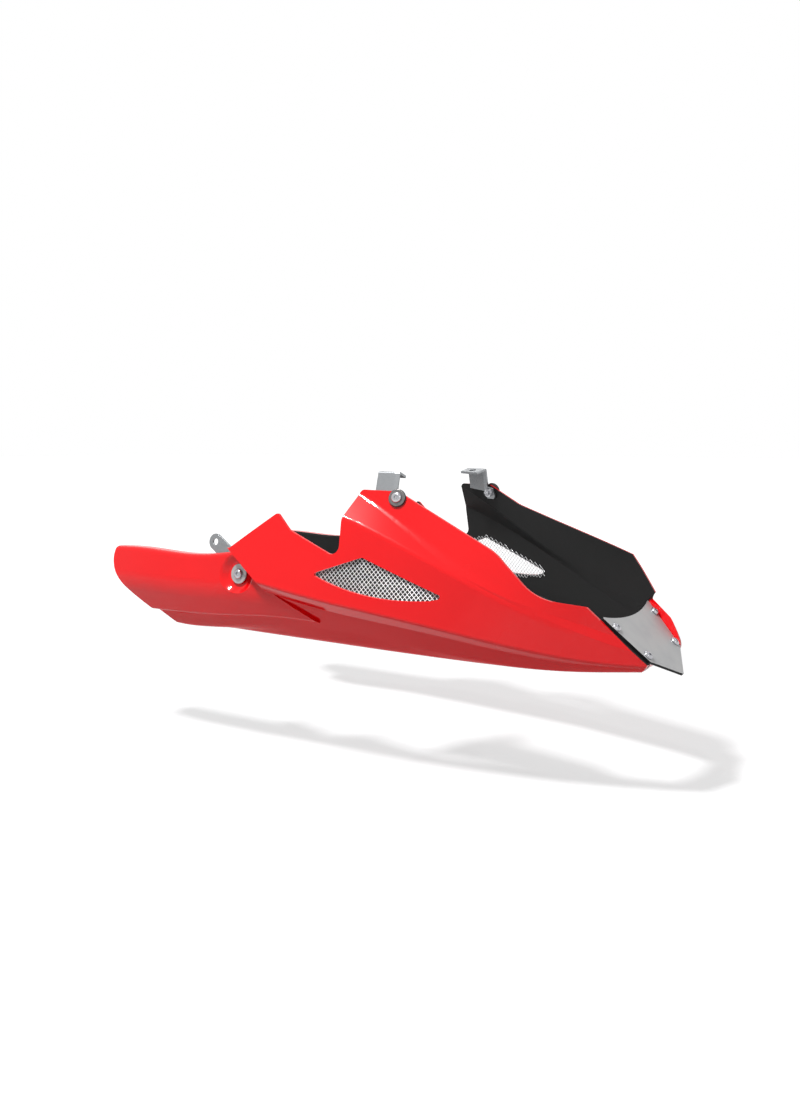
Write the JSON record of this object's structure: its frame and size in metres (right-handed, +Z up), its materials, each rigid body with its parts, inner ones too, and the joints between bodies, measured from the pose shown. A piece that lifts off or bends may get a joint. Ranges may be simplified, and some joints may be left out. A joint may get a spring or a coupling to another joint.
{
  "type": "motorcycle belly pan",
  "caption": "Gloss belly pan for a motorcycle: half shells with a pointed nose, mesh side vents and rear blades, joined by a bolted front plate, with steel brackets for hanging it below the engine.",
  "frame": {"origin": "centre of the bounding box in plan, at its lowest point", "axes": "+X forward to the pointed nose, +Y to the rider's left, +Z up"},
  "size_m": [0.6974, 0.3458, 0.2149],
  "materials": {
    "shell_gloss": "glossy red paint outside, black inside",
    "plate_metal": "satin silver face with dark edge",
    "mesh_metal": "silver diamond mesh",
    "bracket_steel": "brushed bare steel",
    "fastener_steel": "zinc plate",
    "soft_rubber": "dark rubber"
  },
  "bodies": {
    "root": {"side_shell_right": "shell_gloss", "side_shell_left": "shell_gloss", "front_plate": "plate_metal", "vent_grille_right": "mesh_metal", "vent_grille_left": "mesh_metal", "top_bracket_right": "bracket_steel", "top_bracket_left": "bracket_steel", "rear_bracket_right": "bracket_steel", "rear_bracket_left": "bracket_steel", "plate_screws": "fastener_steel", "plate_nuts": "fastener_steel", "fin_screws": "fastener_steel", "fin_washers": "fastener_steel", "fin_soft_washers": "soft_rubber", "fin_nuts": "fastener_steel", "blade_screws": "fastener_steel", "blade_washers": "fastener_steel", "blade_soft_washers": "soft_rubber", "blade_nuts": "fastener_steel"}
  },
  "joints": []
}
